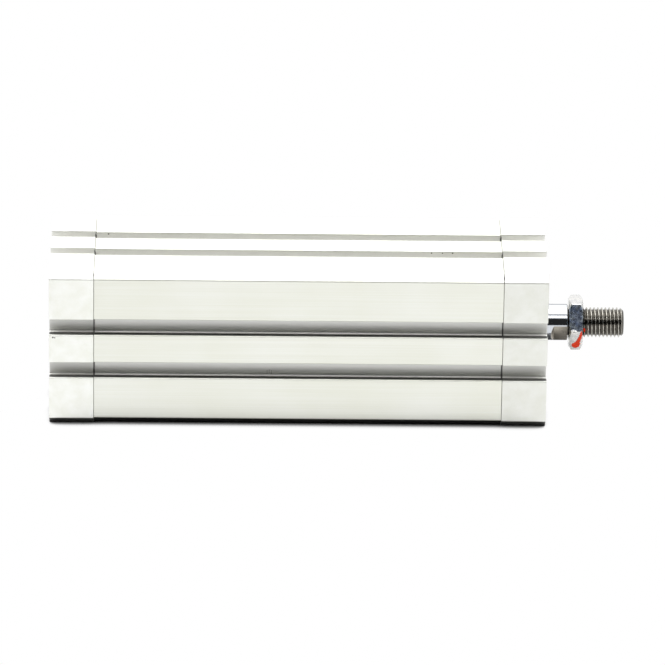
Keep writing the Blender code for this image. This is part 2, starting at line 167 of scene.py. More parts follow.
# %% Turn a profile round an axis
def turned(name, profile, steps=96, axis=(1, 0, 0), centre=(0, 0, 0)):
    """Spins a closed outline of (distance along the axis, radius) pairs."""
    axis = Vector(axis)
    across = Vector((0, 0, 1)) if abs(axis.z) < 0.5 else Vector((1, 0, 0))
    bm = bmesh.new()
    ring = [bm.verts.new(Vector(centre) + axis * x + across * r) for x, r in profile]
    for start, end in zip(ring, ring[1:] + ring[:1]):
        bm.edges.new((start, end))
    everything = bm.verts[:] + bm.edges[:]
    bmesh.ops.spin(bm, geom=everything, cent=centre, axis=axis, angle=2 * pi, steps=steps, use_merge=True)
    bmesh.ops.remove_doubles(bm, verts=bm.verts, dist=1e-7)
    bmesh.ops.dissolve_degenerate(bm, edges=bm.edges, dist=1e-8)
    lone = [edge for edge in bm.edges if not edge.link_faces]
    bmesh.ops.delete(bm, geom=lone, context="EDGES")
    return finished(bm, name)


# %% Cut or join with Booleans, and apply them
def combined(obj, tools):
    """Applies each (mesh, operation) to the object in turn and finds the sharp edges again."""
    helpers = []
    for number, (mesh, operation) in enumerate(tools):
        helper = add_object(f"{obj.name}_tool_{number}", mesh)
        helpers.append(helper)
        modifier = obj.modifiers.new(helper.name, "BOOLEAN")
        modifier.operation = operation
        modifier.solver = "MANIFOLD"
        modifier.object = helper
    graph = bpy.context.evaluated_depsgraph_get()
    result = bpy.data.meshes.new_from_object(obj.evaluated_get(graph))
    obj.modifiers.clear()
    result.materials.clear()
    obj.data = result
    result.shade_smooth()
    result.set_sharp_from_angle(angle=radians(35))
    for helper in helpers:
        bpy.data.objects.remove(helper)


# %% [markdown]
# ## Smooth curves beside flat faces
# Smooth shading bends the light on a flat face where it meets a small round, so a flat side would look swollen.
# A Weighted Normal modifier lets the large faces keep their own direction, and only the rounds blend.

# %% Give a piece its finish and its place in the model
def dress(piece, material, body, replaced=()):
    piece.data.materials.append(material)
    shading = piece.modifiers.new("flat_faces", "WEIGHTED_NORMAL")
    shading.weight = 80
    shading.keep_sharp = True
    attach(piece, body)
    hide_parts(*replaced)
    print(piece.name, "has", len(piece.data.polygons), "faces")


# %% [markdown]
# ## Materials: colour and nodes
# Colours are written as the eye sees them, in sRGB hex, and Blender wants them linear, so one function
# converts. Node trees are long to write by hand. One small function adds a node, sets it and links it. Among its
# inputs a hex code stands for a colour, and a node stands for the output that it has in use.

# %% Helpers for materials
def colour(hex_code):
    """An sRGB hex colour as linear RGBA."""
    parts = [int(hex_code[i : i + 2], 16) / 255 for i in (1, 3, 5)]
    return (*[p / 12.92 if p <= 0.04045 else ((p + 0.055) / 1.055) ** 2.4 for p in parts], 1.0)


def feed(tree, node, inputs):
    """Sets or links inputs of a node, by name or number."""
    for key, value in inputs.items():
        if isinstance(value, str):
            value = colour(value)
        if isinstance(value, bpy.types.Node):
            value = next(socket for socket in value.outputs if socket.enabled)
        if isinstance(value, bpy.types.NodeSocket):
            tree.links.new(value, node.inputs[key])
        else:
            node.inputs[key].default_value = value


def add_node(tree, kind, inputs=None, **settings):
    made = tree.nodes.new("ShaderNode" + kind)
    for key, value in settings.items():
        setattr(made, key, value)
    feed(tree, made, inputs or {})
    return made


def new_material(name, base, metallic, roughness):
    """A material with its tree, its shader and its object coordinates, in metres."""
    material = bpy.data.materials.new(name)
    material.use_nodes = True
    tree = material.node_tree
    shader = tree.nodes["Principled BSDF"]
    feed(tree, shader, {"Base Color": base, "Metallic": metallic, "Roughness": roughness})
    return material, tree, shader, add_node(tree, "TexCoord").outputs["Object"]


# %% [markdown]
# ## Places that differ
# No finish is the same all over: there is dirt in a slot, a milled flat on a chromed rod, a chip at a corner.
# A mask says how much a place belongs to such a part, from 0 to 1, and colours are then laid over each other by
# their masks. A mask comes from measures of the place, such as its depth below a face, or from balls in space:
# what lies inside a ball is touched, and noise makes the edge ragged. A painted image could do this too, but a
# mask needs no unwrapping and stays sharp at any size.

# %% Make masks, and lay colours by them
def within(tree, measures, curve="LINEAR"):
    """1 where every value is past its second limit and 0 before its first, with a step between them."""
    share = 1.0
    for value, before, past in measures:
        limits = {"Value": value, "From Min": before, "From Max": past}
        step = add_node(tree, "MapRange", limits, interpolation_type=curve)
        share = add_node(tree, "Math", {0: step, 1: share}, operation="MULTIPLY")
    return share


def touched(tree, place, spots, grain, raggedness):
    """1 inside any ball, given as (x, y, z, radius) in mm, and 0 outside. Also gives the noise at its edge."""
    soft_edge = 0.12 * MM
    noise = add_node(tree, "TexNoise", {"Vector": place, "Scale": 1 / grain, "Detail": 2})
    waver = add_node(tree, "Math", {0: noise, 1: raggedness}, operation="MULTIPLY")
    covered = 0.0
    for x, y, z, radius in spots:
        centre = (x * MM, y * MM, z * MM)
        reach = add_node(tree, "VectorMath", {0: place, 1: centre}, operation="DISTANCE")
        reach = add_node(tree, "Math", {0: reach, 1: waver}, operation="ADD")
        edge = radius * MM + raggedness / 2
        spot = within(tree, [(reach, edge, edge - soft_edge)])
        covered = add_node(tree, "Math", {0: spot, 1: covered}, operation="MAXIMUM")
    return covered, noise


def layered(tree, ground, layers, kind="RGBA"):
    """Lays values over a ground in turn, each as (share, value)."""
    for share, top in layers:
        ground = add_node(tree, "Mix", {"Factor": share, "A": ground, "B": top}, data_type=kind)
    return ground


# %% [markdown]
# ## Painted shade in the slots
# The base colour is darkened where shade falls: a dark painted shade on the lips inside the side slots that face
# up, and a lighter painted shade on the slot floors. A painted shadow lies in the joint between cap and barrel
# there, and the chamfer at the foot, which faces down at the table, gets a painted shade. A place is known by
# where it faces and how far it lies below the side's face. Inside a slot the oxide is a little less yellow, so
# that is a mask of its own.

# %% Find the places of painted shade
def slot_painted_shade(tree, place, face, lip_shade_tone, floor_shade_tone):
    """A painted shade factor, which is 1 on open faces, and how far a place lies inside a slot."""
    middle = (body_length / 2, 0, 0)
    point = add_node(tree, "VectorMath", {0: place, 1: middle}, operation="SUBTRACT")
    point = add_node(tree, "VectorMath", {0: point}, operation="ABSOLUTE")
    along, depth, height = add_node(tree, "SeparateXYZ", {"Vector": point}).outputs
    normal = add_node(tree, "TexCoord").outputs["Normal"]
    normal = add_node(tree, "SeparateXYZ", {"Vector": normal}).outputs
    sideways = add_node(tree, "Math", {0: normal["Y"]}, operation="ABSOLUTE")
    beside_slots = (height, 16 * MM, 14 * MM)
    lip = within(tree, [
        (normal["Z"], 0.6, 0.9),
        (depth, face - 0.4 * MM, face - 0.8 * MM),
        (depth, face - 2.9 * MM, face - 2.7 * MM),
        beside_slots,
    ])
    floor = within(tree, [
        (sideways, 0.6, 0.9),
        (depth, face - 3 * MM, face - 4 * MM),
        (depth, face - 8 * MM, face - 7 * MM),
        beside_slots,
    ])
    foot = within(tree, [(normal["Z"], -0.4, -0.6), (height, face - 3.2 * MM, face - 2.4 * MM)])
    # Painted shade: the lips that face up and the foot are darkened, and so is the joint inside the slots.
    shaded_lips_and_foot = add_node(tree, "Math", {0: lip, 1: foot}, operation="MAXIMUM")
    outermost = add_node(tree, "Math", {0: depth, 1: height}, operation="MAXIMUM")
    inside = within(tree, [(outermost, face - 0.3 * MM, face - 0.9 * MM)])
    joint = body_length / 2 - cap_length
    seam_shade = within(tree, [
        (along, joint - 0.35 * MM, joint - 0.15 * MM),
        (along, joint + 0.35 * MM, joint + 0.15 * MM),
        (outermost, face - 0.8 * MM, face - 1.4 * MM),
    ])
    return layered(tree, 1.0, [(shaded_lips_and_foot, lip_shade_tone), (floor, floor_shade_tone), (seam_shade, 0.2)], "FLOAT"), inside


# %% [markdown]
# ## Anodised aluminium
# The barrel is pushed through a die and then clear anodised. The die leaves faint lines along its whole length,
# and the glassy oxide layer makes the metal pale, satin and a little warm.
# The lines are noise squeezed along X: fine across the barrel and far too long to see an end.
# Roughness, colour and bump share them, as one scratch changes all three on real metal.
# Handling has left a few specks at the top slots' edges and three scratches down the floor of the lower side
# slot. A scratch is a row of small balls.

# %% Make the anodised aluminium
barrel_specks = [(18.7, 10.2, 25.8, 0.3), (124.8, -4.8, 25.9, 0.28), (128.4, -4.8, 25.9, 0.25)]
barrel_specks.append((131.7, -4.8, 25.9, 0.3))
for x, z in ((71.2, -9.7), (71.9, -9.5), (72.6, -9.8)):
    barrel_specks += [(x, -21.6, z + step, 0.14) for step in (-0.5, -0.25, 0, 0.25, 0.5)]
speck_grain, speck_edge = 0.3 * MM, 0.1 * MM


def anodised_aluminium(face):
    material, tree, shader, place = new_material("anodised_aluminium", "#F1F2EA", 0.8, 0.4)
    die_line, cloud_size = 0.25 * MM, 22 * MM
    drawn = add_node(tree, "Mapping", {"Vector": place, "Scale": (0.004, 1, 1)})
    lines = add_node(tree, "TexNoise", {"Vector": drawn, "Scale": 1 / die_line, "Detail": 3})
    clouds = add_node(tree, "TexNoise", {"Vector": place, "Scale": 1 / cloud_size, "Detail": 2})
    both = add_node(tree, "Math", {0: lines, 1: clouds}, operation="ADD")
    tone = within(tree, [(both, 0.7, 1.3)])
    # The slot tone is painted shade, which darkens the base colour in the slots and at the foot.
    dull_and_shade, inside = slot_painted_shade(tree, place, face, 0.1, 0.82)
    specks = touched(tree, place, barrel_specks, speck_grain, speck_edge)[0]
    clean = layered(tree, "#ECEDE6", [(tone, "#E7E8DD"), (inside, "#EFEFEB")])
    gloss = {"From Min": 0.3, "From Max": 0.7, "To Min": 0.36, "To Max": 0.44}
    feed(tree, shader, {
        "Base Color": layered(tree, "#000000", [(dull_and_shade, clean), (specks, "#55534E")]),
        "Roughness": add_node(tree, "MapRange", {"Value": lines, **gloss}),
        "Normal": add_node(tree, "Bump", {"Height": lines, "Strength": 0.25, "Distance": 0.01 * MM}),
    })
    return material


anodised = anodised_aluminium(barrel_half)

# %% [markdown]
# ## Blasted aluminium
# The caps are die cast, machined, blasted with fine beads and anodised. Blasting gives a matt, even grain, and
# the oxide on a casting comes out slightly cloudy. Two noises do this: patches a few millimetres wide for
# the clouds, and a grain of 0.15 mm for the bead marks, drawn a little coarser than real so that it shows.
# The rear cap is drawn paler than the front one, a painted light for the light that falls from the left, and it
# has a small nick at its end, below the upper slot.

# %% Make the blasted aluminium
cap_nick = [(1.3, -26.95, 4.0, 0.32), (1.9, -26.95, 3.9, 0.26)]


def blasted_aluminium(name, face, light, dark):
    material, tree, shader, place = new_material(name, light, 0.8, 0.44)
    patch_size, bead_mark = 4 * MM, 0.15 * MM
    patches = {"Scale": 1 / patch_size, "Detail": 4, "Roughness": 0.6}
    clouds = add_node(tree, "TexNoise", {"Vector": place, **patches})
    tone = within(tree, [(clouds, 0.3, 0.7)])
    grain = add_node(tree, "TexNoise", {"Vector": place, "Scale": 1 / bead_mark, "Detail": 2})
    # The slot tone is painted shade, which darkens the base colour in the slots and at the foot.
    dull_and_shade, inside = slot_painted_shade(tree, place, face, 0.2, 0.78)
    nick = touched(tree, place, cap_nick, speck_grain, speck_edge)[0]
    clean = layered(tree, light, [(tone, dark), (inside, "#F2F2EE")])
    feed(tree, shader, {
        "Base Color": layered(tree, "#000000", [(dull_and_shade, clean), (nick, "#454440")]),
        "Normal": add_node(tree, "Bump", {"Height": grain, "Strength": 0.3, "Distance": 0.02 * MM}),
    })
    return material


# Painted light: the rear cap's tones are paler than the front cap's, because the light falls from the left.
rear_blasted_lit = blasted_aluminium("blasted_aluminium_rear_lit", cap_half, "#FBFCF8", "#F2F3EB")
front_blasted_shaded = blasted_aluminium("blasted_aluminium_front_shaded", cap_half, "#EDEEE9", "#E5E6DE")

# %% [markdown]
# ## Hard chrome
# The rod is steel, hard chromed and then ground round, so it is nearly a mirror. Grinding leaves rings too fine
# to see one by one. They run round the rod, so the noise is squeezed along X this time.
# A metal's colour is its reflection at normal incidence, and chromium is a middle grey.
# The wrench flats and the neck were cut after chroming, so they are bare steel: warmer and duller. Their darker
# tone is partly a painted reflection of the shaded table below the rod. A point belongs to them if it is nearer
# to the axis than the ground surface is. The neck, in the narrow gap between the shoulder and the nut, gets a
# near-black painted shade. A wrench has left three small dark knocks at the flat in front.

# %% Make the hard chrome
def axis_distance(tree, place):
    """How far a place is from the rod's axis, and how far along it."""
    axes = add_node(tree, "SeparateXYZ", {"Vector": place}).outputs
    across = add_node(tree, "CombineXYZ", {"Y": axes["Y"], "Z": axes["Z"]})
    return add_node(tree, "VectorMath", {0: across}, operation="LENGTH"), axes["X"]


rod_knocks = [(164.3, -5.73, -1.77, 0.26), (168.6, -4.9, -1.2, 0.18), (168.75, -4.75, -1.7, 0.18)]


def hard_chrome(ground_radius, neck_start):
    material, tree, shader, place = new_material("hard_chrome", "#C1C4C9", 1.0, 0.07)
    grinding_ring, tool_mark = 0.06 * MM, 0.4 * MM
    rings = add_node(tree, "Mapping", {"Vector": place, "Scale": (1, 0.02, 0.02)})
    marks = add_node(tree, "TexNoise", {"Vector": rings, "Scale": 1 / grinding_ring, "Detail": 2})
    milling = add_node(tree, "TexNoise", {"Vector": place, "Scale": 1 / tool_mark, "Detail": 4})
    radius, along = axis_distance(tree, place)
    bare = within(tree, [(radius, ground_radius - 0.02 * MM, ground_radius - 0.06 * MM)])
    # Painted shade: the neck, in the narrow gap by the nut, is drawn near black.
    neck_shade = within(tree, [(along, neck_start - 0.1 * MM, neck_start + 0.1 * MM)])
    knocks = touched(tree, place, rod_knocks, speck_grain, speck_edge)[0]
    # The bare steel is drawn darker than chrome, partly as a painted reflection of the shaded table below.
    cut = layered(tree, "#8A847A", [(milling, "#B3ADA2"), (neck_shade, "#2B2927")])
    gloss = {"From Min": 0.3, "From Max": 0.7, "To Min": 0.05, "To Max": 0.11}
    polish = add_node(tree, "MapRange", {"Value": marks, **gloss})
    feed(tree, shader, {
        "Base Color": layered(tree, "#C1C4C9", [(bare, cut), (knocks, "#2B2927")]),
        "Roughness": add_node(tree, "MapRange", {"Value": bare, "To Min": polish, "To Max": 0.3}),
        "Normal": add_node(tree, "Bump", {"Height": marks, "Strength": 0.1, "Distance": 0.002 * MM}),
    })
    return material


# %% [markdown]
# ## Cut steel
# The thread was cut after chroming too. Its crests keep the bright steel, and its roots get a dark painted
# shade, darkest in the first turns beside the nut. The distance from the rod's axis says how deep in a root a
# point lies.

# %% Make the cut steel
def cut_steel(crest_radius, root_radius, nut_face, tip):
    material, tree, shader, place = new_material("cut_steel", "#C9C8C3", 1.0, 0.2)
    tool_mark = 0.3 * MM
    depth = crest_radius - root_radius
    radius, along = axis_distance(tree, place)
    marks = add_node(tree, "TexNoise", {"Vector": place, "Scale": 1 / tool_mark, "Detail": 3})
    # Painted shade: the roots are darker the deeper they lie, and the turns beside the nut are nearly black.
    height = within(tree, [(radius, root_radius + 0.05 * depth, root_radius + 0.6 * depth)])
    faced = within(tree, [(along, tip - 0.1 * MM, tip - 0.02 * MM)])
    beside_nut_shade = within(tree, [(along, nut_face + 0.9 * MM, nut_face + 0.3 * MM)])
    bright = add_node(tree, "Math", {0: height, 1: faced}, operation="MAXIMUM")
    crest = layered(tree, "#CFCDC6", [(marks, "#A8A59C")])
    gloss = {"From Min": 0.3, "From Max": 0.7, "To Min": 0.14, "To Max": 0.26}
    feed(tree, shader, {
        "Base Color": layered(tree, "#3A3836", [(marks, "#66625B"), (bright, crest), (beside_nut_shade, "#24221F")]),
        "Roughness": add_node(tree, "MapRange", {"Value": marks, **gloss}),
    })
    return material, tree, shader, place


# %% [markdown]
# ## Zinc plate
# Nut and screws are zinc plated steel with a clear passivation. Handling leaves the plate dull in patches, so
# both its tone and its roughness follow a noise of about a millimetre. The nut's upper front flat gets a dark
# blue film with stains, which is partly the blue passivation and partly a painted reflection of the dark room in
# front.

# %% Make the zinc plate
def zinc_plate(name, bright, dull_and_shade):
    material, tree, shader, place = new_material(name, bright, 1.0, 0.2)
    patch_size = 1.2 * MM
    rubbed = {"Scale": 1 / patch_size, "Detail": 4, "Roughness": 0.6}
    patches = add_node(tree, "TexNoise", {"Vector": place, **rubbed})
    tone = within(tree, [(patches, 0.35, 0.65)])
    feed(tree, shader, {
        "Base Color": layered(tree, bright, [(tone, dull_and_shade)]),
        "Roughness": add_node(tree, "MapRange", {"Value": tone, "To Min": 0.1, "To Max": 0.2}),
        "Normal": add_node(tree, "Bump", {"Height": patches, "Strength": 0.12, "Distance": 0.01 * MM}),
    })
    return material, tree, shader, place


screw_zinc = zinc_plate("zinc_plated_screw", "#CDD1D6", "#B2B8C0")[0]
nut_zinc, nut_tree, nut_shader, nut_place = zinc_plate("zinc_plated_nut", "#F2F0EB", "#C9CACB")
stain_size = 1.6 * MM
axes = add_node(nut_tree, "SeparateXYZ", {"Vector": nut_place}).outputs
# Painted reflection: the upper front flat is darkened and blued, partly for the blue passivation and partly for
# the dark room that it faces.
film_and_painted_reflection = within(nut_tree, [(axes["Z"], 0.1 * MM, 0.5 * MM), (axes["Y"], -4.4 * MM, -4.6 * MM)])
stains = add_node(nut_tree, "TexNoise", {"Vector": nut_place, "Scale": 1 / stain_size, "Detail": 3})
blue = layered(nut_tree, "#7C8BA8", [(within(nut_tree, [(stains, 0.35, 0.65)]), "#B4BEC8")])
worn = nut_shader.inputs["Base Color"].links[0].from_socket
feed(nut_tree, nut_shader, {"Base Color": layered(nut_tree, worn, [(film_and_painted_reflection, blue)])})

# %% [markdown]
# ## Finishes that show only from the ends or through the ports
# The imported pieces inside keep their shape, as it is right, and get the finish of the real part: sintered
# bronze, nitrile rubber, polyurethane, acetal, a plastic-bonded magnet and turned aluminium. They differ in
# colour and gloss, and in the size of their grain, so one function with a real grain size makes them all.

# %% Make the inner finishes
def grained(name, light, dark, metallic, gloss, grain, depth, stretch=(1, 1, 1)):
    """Gloss is the roughness of the smooth and of the rough places. Stretch below 1 draws the grain out."""
    material, tree, shader, place = new_material(name, light, metallic, gloss[0])
    drawn = add_node(tree, "Mapping", {"Vector": place, "Scale": stretch})
    noise = add_node(tree, "TexNoise", {"Vector": drawn, "Scale": 1 / grain, "Detail": 3})
    share = within(tree, [(noise, 0.35, 0.65)])
    feed(tree, shader, {
        "Base Color": layered(tree, light, [(share, dark)]),
        "Roughness": add_node(tree, "MapRange", {"Value": share, "To Min": gloss[0], "To Max": gloss[1]}),
        "Normal": add_node(tree, "Bump", {"Height": noise, "Strength": 0.3, "Distance": depth}),
    })
    return material


round_x = (1, 0.03, 0.03)
bronze = grained("sintered_bronze", "#B08A55", "#8A6638", 1.0, (0.35, 0.55), 0.2 * MM, 0.02 * MM)
lathed = grained("turned_aluminium", "#DADCDD", "#C6C8CA", 1.0, (0.22, 0.32), 0.15 * MM, 0.005 * MM, round_x)
nitrile = grained("nitrile_rubber", "#232322", "#181817", 0.0, (0.5, 0.65), 0.3 * MM, 0.01 * MM)
urethane = grained("piston_polyurethane", "#2E6B52", "#255845", 0.0, (0.3, 0.4), 0.8 * MM, 0.004 * MM)
acetal = grained("moulded_acetal", "#DEDCD3", "#D2CFC4", 0.0, (0.35, 0.45), 1.0 * MM, 0.004 * MM)
magnet = grained("bonded_magnet", "#3A3938", "#2A2928", 0.1, (0.55, 0.7), 0.12 * MM, 0.01 * MM)
inner_finishes = {
    "bearing_bush": bronze, "guide_ring": acetal, "magnet_ring": magnet, "piston_nut": screw_zinc,
    "piston_front": lathed, "piston_rear": lathed,
    "front_bumper": nitrile, "rear_bumper": nitrile, "front_seal_ring": nitrile, "rear_seal_ring": nitrile,
    "piston_seal_front": urethane, "piston_seal_rear": urethane,
}
for node, material in inner_finishes.items():
    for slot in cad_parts[node].material_slots:
        slot.material = material
print(len(inner_finishes), "packed pieces have a new finish")

# %% [markdown]
# ## The barrel
# The barrel is one extruded profile with two T-slots on each side for position sensors. The lips of a slot are
# rounded, and its inner corners have small fillets, because the die can't be sharp there. The lips are 2.5 mm
# thick, as their shine in the view shows.
# Its two ends are sawn and eased, so the outline is drawn a little smaller at the very end.

# %% Draw the barrel's outline
slot_floor = barrel_half - 5.0 * MM
slot_spacing = 15.0 * MM
slot_undercut = 0.9 * MM
lip_underside = barrel_half - 2.5 * MM
slot_fillet = 0.9 * MM
barrel_chamfer = 2.4 * MM
corner_round = 0.8 * MM


def square(half, chamfer, ease, notches_of_side):
    """Four sides in turn, each drawn as the one that faces up, from +Y to -Y, and ending with its chamfer."""
    corners = []
    for turns, notches in enumerate(notches_of_side):
        turn = Matrix.Rotation(turns * pi / 2, 2)
        side = [*notches, (-(half - chamfer), half, ease), (-half, half - chamfer, ease)]
        corners += [(*(turn @ Vector((y, z))), radius) for y, z, radius in side]
    return rounded(corners)


def two_slots(half, opening, mouth_round, shrink):
    """The notches of one side. Floor and lips lie at the same depth below any face that they are cut into."""
    mouth = opening / 2 + shrink
    inner = mouth + slot_undercut
    lip, floor = lip_underside + shrink, slot_floor - shrink
    right = [(mouth, half, mouth_round), (mouth, lip, 0.1 * MM)]
    right += [(inner, lip, 0.2 * MM), (inner, floor, slot_fillet)]
    slot = right + [(-a, b, radius) for a, b, radius in reversed(right)]
    centres = (slot_spacing / 2, -slot_spacing / 2)
    return [(centre + a, b, radius) for centre in centres for a, b, radius in slot]


barrel_opening = 5.4 * MM
barrel_mouth_round = 0.42 * MM


def barrel_outline(shrink):
    half = barrel_half - shrink
    side = two_slots(half, barrel_opening, barrel_mouth_round, shrink)
    return square(half, barrel_chamfer, corner_round, [side] * 4)


# %% Build the barrel
screw_offset = barrel_half - 6.6 * MM
channel_radius = 2.8 * MM
saw_ease = 0.12 * MM
joint_gap = 0.05 * MM


def eased(start, stop, ease, steps=2):
    """Places along X with how far the outline is drawn in there: eased at both ends."""
    places = []
    for k in range(steps + 1):
        angle = pi / 2 * k / steps
        places.append((start + ease * (1 - cos(angle)), ease * (1 - sin(angle))))
    places += [(start + stop - x, shrink) for x, shrink in reversed(places)]
    return places


barrel_places = eased(cap_length + joint_gap, body_length - cap_length - joint_gap, saw_ease)
bore = [(x, circle(bore_radius + shrink, 128)) for x, shrink in barrel_places]
screw_places = [(y, z) for y in (-screw_offset, screw_offset) for z in (-screw_offset, screw_offset)]
channels = []
for place in screw_places:
    channels.append([(x, circle(channel_radius + shrink, 24, place)) for x, shrink in barrel_places])
barrel_mesh = extruded("barrel_profile", [(x, barrel_outline(s)) for x, s in barrel_places], [bore, *channels])
barrel = add_object("barrel_profile", barrel_mesh)
dress(barrel, anodised, "housing", ["barrel"])

# %% [markdown]
# ## The caps
# Each cap is a casting with the barrel's T-slots carried on to its end, so that a sensor can be slid in, four
# counterbored screw holes, a port for an air fitting on its back and a round register that enters the barrel.
# The side with the port has no slots. The body is extruded, and the round features are turned and then cut.

# %% Draw a cap's outline
cap_opening = 5.3 * MM
cap_mouth_round = 0.42 * MM
cap_chamfer = 2.6 * MM


def cap_outline(shrink):
    half = cap_half - shrink
    side = two_slots(half, cap_opening, cap_mouth_round, shrink)
    return square(half, cap_chamfer, corner_round, [side, side, side, []])


# %% Shape the tools that cut a cap
register_length = 3.0 * MM
register_radius = bore_radius - fit
ring_groove_radius = register_radius - 1.6 * MM - fit
bumper_inner, bumper_outer = 9.0 * MM, 13.3 * MM
port_x = cap_length / 2
port_minor, port_major = 4.4 * MM, 4.86 * MM
port_pitch = 0.907 * MM
passage_radius = 1.5 * MM
passage_place = ring_groove_radius - 0.75 * MM - passage_radius
screw_head, screw_seat = 5.0 * MM, 8.6 * MM
past = 2 * MM


def register_tool(name):
    start, end = cap_length + fit / 2, cap_length + register_length
    groove_end = start + 2.2 * MM
    profile = [(cap_length - past, 0), (cap_length - past, ring_groove_radius)]
    profile += [(groove_end, ring_groove_radius), (groove_end, register_radius)]
    profile += [(end - fit, register_radius), (end, register_radius - fit), (end, 0)]
    return turned(name, profile, 128)


def bumper_tool(name):
    face = cap_length + register_length
    floor = face - 1.8 * MM
    inner, outer = bumper_inner - fit, bumper_outer
    return turned(name, [(floor, inner), (floor, outer), (face + past, outer), (face + past, inner)], 96)


def port_tool(name):
    """The port with its thread as rings, a lead-in chamfer and the drilling below."""
    mouth, chamfer_start = cap_half, cap_half - 0.9 * MM
    profile = [(passage_place - passage_radius, 0), (passage_place - passage_radius, passage_radius)]
    profile += [(ring_groove_radius, passage_radius), (ring_groove_radius, port_minor)]
    turns = int((mouth - ring_groove_radius - 1.5 * MM) / port_pitch)
    first = chamfer_start - turns * port_pitch
    for k in range(turns):
        start = first + k * port_pitch
        profile += [(start, port_minor)]
        profile += [(start + port_pitch * share, port_major) for share in (0.45, 0.55)]
    lead = port_major + 0.2 * MM
    profile += [(chamfer_start, port_minor), (chamfer_start + lead - port_minor, lead)]
    profile += [(mouth + past, lead), (mouth + past, 0)]
    return turned(name, profile, 72, axis=(0, 1, 0), centre=(port_x, 0, 0))


def passage_tool(name):
    drill = passage_radius - 0.03 * MM
    end = cap_length + register_length + past
    profile = [(port_x, 0), (port_x, drill), (end, drill), (end, 0)]
    return turned(name, profile, 32, centre=(0, passage_place, 0))


def screw_hole_tool(name):
    bm = bmesh.new()
    mouth = 0.3 * MM
    profile = [(-past, 0), (-past, screw_head + mouth + past), (mouth, screw_head)]
    profile += [(screw_seat, screw_head), (screw_seat, channel_radius)]
    profile += [(cap_length + past, channel_radius), (cap_length + past, 0)]
    for y, z in screw_places:
        one = turned(name, profile, 64, centre=(0, y, z))
        bm.from_mesh(one)
        bpy.data.meshes.remove(one)
    return finished(bm, name)


def rod_passage_tool(name):
    face = cap_length + register_length
    mouth, groove, seat, hole = 9.0 * MM, 10.0 * MM, 7.8 * MM, 6.6 * MM
    chamfer, groove_start, groove_end, seat_end = 0.3 * MM, 0.9 * MM, 5.2 * MM, face - 1.5 * MM
    profile = [(-past, 0), (-past, mouth + past + chamfer), (chamfer, mouth), (groove_start, mouth)]
    profile += [(groove_start, groove), (groove_end, groove), (groove_end, seat), (seat_end, seat)]
    profile += [(seat_end, hole), (face + past, hole), (face + past, 0)]
    return turned(name, profile, 128)


# %% Build both caps
cap_ease = 0.25 * MM


def build_cap(name, node, front):
    body = extruded(name, [(x, cap_outline(s)) for x, s in eased(0, cap_length - joint_gap, cap_ease)])
    cap = add_object(name, body)
    tools = [(register_tool("register"), "UNION"), (bumper_tool("bumper"), "DIFFERENCE")]
    if front:
        tools.append((rod_passage_tool("rod_passage"), "DIFFERENCE"))
    tools += [(port_tool("port"), "DIFFERENCE"), (passage_tool("passage"), "DIFFERENCE")]
    tools.append((screw_hole_tool("screw_holes"), "DIFFERENCE"))
    combined(cap, tools)
    if front:
        cap.data.transform(Matrix.Translation((body_length, 0, 0)) @ Matrix.Diagonal((-1, 1, 1, 1)))
        cap.data.flip_normals()
    dress(cap, front_blasted_shaded if front else rear_blasted_lit, "housing", [node])


build_cap("rear_cap_casting", "rear_cap", False)
build_cap("front_cap_casting", "front_cap", True)

# %% [markdown]
# ## The cap screws
# The screws hold the caps on, and each head has a thread of its own, which takes the screws of a mounting
# bracket. A hexagon socket sits below that thread. The head is turned, the thread is a row of rings, because
# nobody can see its lead inside so small a hole, and the socket is cut with a six-sided tool.

# %% Build the cap screws
def hexagon(across_flats, turn=0.0, radius=0.0):
    reach = across_flats / 2 / cos(pi / 6)
    corners = [(reach * cos(turn + pi / 3 * i), reach * sin(turn + pi / 3 * i), radius) for i in range(6)]
    return rounded(corners, 3)


screw_radius = 2.5 * MM
head_radius = 4.7 * MM
head_length = 8.0 * MM
inner_minor, inner_major, inner_pitch = 2.5 * MM, 3.0 * MM, 1.0 * MM
inner_depth = 5.2 * MM
socket_flats, socket_depth = 4.0 * MM, 1.6 * MM
screw_tip = cap_length - fit + 14 * MM


def screw_mesh(name):
    ease = 0.4 * MM
    profile = [(inner_depth, 0), (inner_depth, inner_minor)]
    for k in range(4):
        start = inner_depth - 0.3 * MM - k * inner_pitch
        profile += [(start, inner_minor)]
        profile += [(start - share * inner_pitch, inner_major) for share in (0.45, 0.55)]
    profile += [(0.9 * MM, inner_minor), (0.5 * MM, inner_major), (0, inner_major + 0.3 * MM)]
    profile += [(0, head_radius - ease), (ease, head_radius)]
    profile += [(head_length, head_radius), (head_length, screw_radius)]
    profile += [(screw_tip - ease, screw_radius), (screw_tip, screw_radius - ease), (screw_tip, 0)]
    blank = add_object(name, turned(name, profile, 64))
    start, stop = inner_depth - 1 * MM, inner_depth + socket_depth
    socket = extruded("socket", [(x, hexagon(socket_flats)) for x in (start, stop)])
    combined(blank, [(socket, "DIFFERENCE")])
    mesh = blank.data
    bpy.data.objects.remove(blank)
    return mesh


screw = screw_mesh("cap_screw")
for end, x, turn in (("rear", fit, 0), ("front", body_length - fit, pi)):
    for corner, y, z in (("a", -1, -1), ("b", 1, -1), ("c", 1, 1), ("d", -1, 1)):
        piece = add_object(f"{end}_cap_screw_{corner}", screw.copy())
        piece.data.transform(Matrix.Rotation(turn, 4, "Z"))
        piece.data.transform(Matrix.Translation((x, y * screw_offset, z * screw_offset)))
        dress(piece, screw_zinc, "housing", [f"{end}_screw_{corner}"])

# %% [markdown]
# ## The rod seal
# A ring of green polyurethane sits in the front cap's groove. Its outer lip scrapes dust off the rod as the rod
# goes in, and its inner lip holds the air. Both lips are thin and lean on the rod, so the half profile is
# drawn point by point, and turned.

